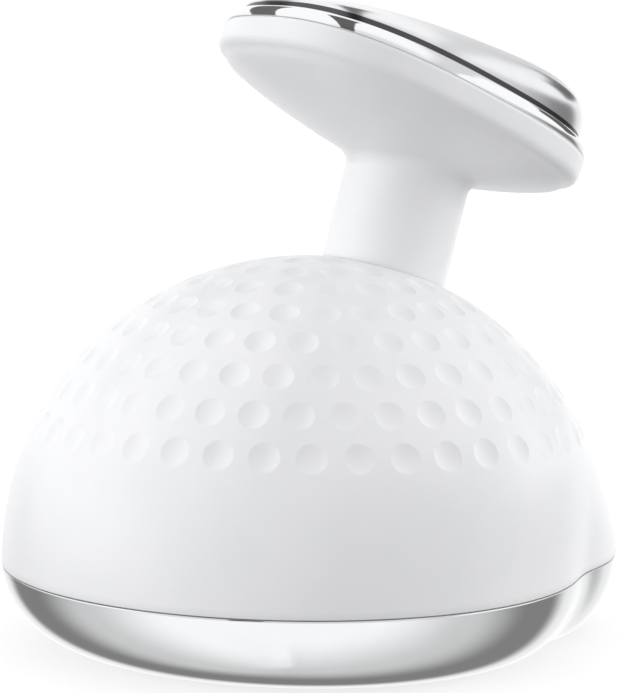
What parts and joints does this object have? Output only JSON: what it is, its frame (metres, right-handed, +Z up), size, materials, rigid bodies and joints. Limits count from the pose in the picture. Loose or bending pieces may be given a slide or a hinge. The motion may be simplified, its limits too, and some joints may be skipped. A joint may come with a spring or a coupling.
{
  "type": "body slimming massager",
  "caption": "Dome-shaped handheld body massager with a dimpled white shell, a chrome base with skin contacts, and a leaning neck that carries a pebble-shaped grip with push buttons.",
  "frame": {"origin": "middle of the underside, on the plane of the skin contacts", "axes": "+Z up, +X to the side, the rounded front towards -Y and the small rear lobe towards +Y"},
  "size_m": [0.106, 0.12, 0.118],
  "materials": {
    "white_shell": "smooth white moulded plastic",
    "chrome_trim": "bright plated plastic",
    "contact_metal": "satin stainless skin contact",
    "light_guide": "milky translucent plastic",
    "steel": "plated steel",
    "brass": "bare metal",
    "circuit_board": "green solder mask",
    "ceramic": "fired ceramic with silver faces",
    "rubber": "soft black rubber",
    "inner_plastic": "grey moulded plastic",
    "battery_wrap": "blue shrink wrap",
    "button_silver": "silver moulded plastic"
  },
  "bodies": {
    "housing": {"base_pan": "chrome_trim", "base_screws": "steel", "treatment_plate": "white_shell", "center_probe": "contact_metal", "light_ring": "light_guide", "electrode_1": "contact_metal", "electrode_2": "contact_metal", "electrode_3": "contact_metal", "electrode_4": "contact_metal", "contact_pins": "brass", "head_board": "circuit_board", "head_screws": "steel", "plate_screws": "steel", "transducer": "ceramic", "seam_gasket": "rubber", "chassis": "inner_plastic", "chassis_screws": "steel", "battery": "battery_wrap", "battery_clamp": "inner_plastic", "motor_body": "steel", "motor_clamp": "steel", "clamp_screws": "steel", "main_board": "circuit_board", "board_screws": "steel", "charge_socket": "steel", "dome_shell": "white_shell", "neck_plate": "steel", "neck_screws": "steel", "harness": "rubber", "handle_shell": "white_shell", "trim_ring": "chrome_trim", "top_cover": "chrome_trim", "control_board": "circuit_board", "control_screws": "steel", "indicator_pipe": "light_guide"},
    "rotor": {"motor_rotor": "brass"},
    "power_cap": {"power_button": "button_silver"},
    "mode_cap": {"mode_button": "button_silver"},
    "level_cap": {"level_button": "button_silver"}
  },
  "joints": [
    {"name": "rotor_spin", "type": "hinge", "parent": "housing", "child": "rotor", "pos_m": [0.0085, 0.012, 0.0262], "axis": [1, 0, 0], "continuous": true},
    {"name": "power_press", "type": "slide", "parent": "housing", "child": "power_cap", "axis": [0, -0.2669, -0.9637], "range_m": [0, 0.0004], "stiffness_N_per_m": 800},
    {"name": "mode_press", "type": "slide", "parent": "housing", "child": "mode_cap", "axis": [0, -0.2669, -0.9637], "range_m": [0, 0.0004], "stiffness_N_per_m": 800},
    {"name": "level_press", "type": "slide", "parent": "housing", "child": "level_cap", "axis": [0, -0.2669, -0.9637], "range_m": [0, 0.0004], "stiffness_N_per_m": 800}
  ]
}
